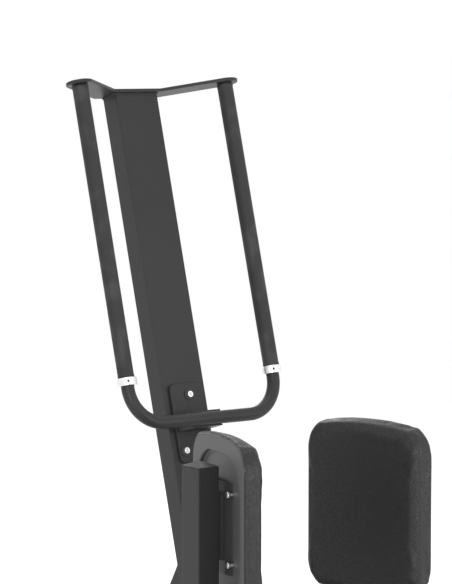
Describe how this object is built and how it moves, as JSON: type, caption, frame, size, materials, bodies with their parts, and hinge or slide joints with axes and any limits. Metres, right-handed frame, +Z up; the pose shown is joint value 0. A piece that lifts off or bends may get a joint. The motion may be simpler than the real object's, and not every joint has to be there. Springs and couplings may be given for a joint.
{
  "type": "ab crunch machine",
  "caption": "Standing plate-loaded gym machine with a leaning upright, long hand grips and two facing thigh pads on arms that swing outwards.",
  "frame": {"origin": "middle of the base on the floor", "axes": "+Z up, +Y the way the user faces, towards the leaning upright, +X to the user's right"},
  "size_m": [1.012, 1.2, 1.5982],
  "materials": {
    "frame_paint": "satin powder coat",
    "grip_rubber": "matte",
    "pad_leather": "fine grain",
    "moulded_shell": "satin",
    "bright_collar": "satin",
    "bolt_steel": "zinc plated",
    "polished_steel": "polished",
    "bush_bronze": "sintered",
    "black_rubber": "matte",
    "black_trim": "matte"
  },
  "bodies": {
    "frame": {"front_crossbeam": "frame_paint", "pivot_crossbeam": "frame_paint", "rear_crossbeam": "frame_paint", "front_spine": "frame_paint", "rear_spine": "frame_paint", "beam_end_caps": "black_trim", "rubber_feet": "black_rubber", "platform_plate": "frame_paint", "platform_mat": "black_rubber", "upright_foot_plate": "frame_paint", "upright": "frame_paint", "rear_brace": "frame_paint", "top_plate": "frame_paint", "grip_tube": "frame_paint", "left_grip": "grip_rubber", "right_grip": "grip_rubber", "left_collar": "bright_collar", "right_collar": "bright_collar", "collar_screws": "black_trim", "bracket_plate": "frame_paint", "saddle": "frame_paint", "bracket_washers": "black_trim", "bracket_bolts": "bolt_steel", "foot_plate_bolts": "bolt_steel", "pivot_ears": "frame_paint", "left_shaft": "polished_steel", "right_shaft": "polished_steel", "shaft_end_bolts": "bolt_steel", "rest_stops": "black_rubber"},
    "left_swing": {"left_post": "frame_paint", "left_crank": "frame_paint", "left_peg_arm": "frame_paint", "left_post_cap": "moulded_shell", "left_bushes": "bush_bronze", "left_pad_bracket": "frame_paint", "left_pad_shell": "moulded_shell", "left_pad_cushion": "pad_leather", "left_pad_bolts": "bolt_steel", "left_peg_core": "polished_steel", "left_peg_sleeve": "polished_steel", "left_peg_flange": "frame_paint", "left_peg_cap": "black_trim"},
    "right_swing": {"right_post": "frame_paint", "right_crank": "frame_paint", "right_peg_arm": "frame_paint", "right_post_cap": "moulded_shell", "right_bushes": "bush_bronze", "right_pad_bracket": "frame_paint", "right_pad_shell": "moulded_shell", "right_pad_cushion": "pad_leather", "right_pad_bolts": "bolt_steel", "right_peg_core": "polished_steel", "right_peg_sleeve": "polished_steel", "right_peg_flange": "frame_paint", "right_peg_cap": "black_trim"}
  },
  "joints": [
    {"name": "left_swing_hinge", "type": "hinge", "parent": "frame", "child": "left_swing", "pos_m": [-0.44, -0.16, 0.15], "axis": [0, -1, 0], "range_deg": [0, 35]},
    {"name": "right_swing_hinge", "type": "hinge", "parent": "frame", "child": "right_swing", "pos_m": [0.44, -0.16, 0.15], "axis": [0, 1, 0], "range_deg": [0, 35]}
  ]
}
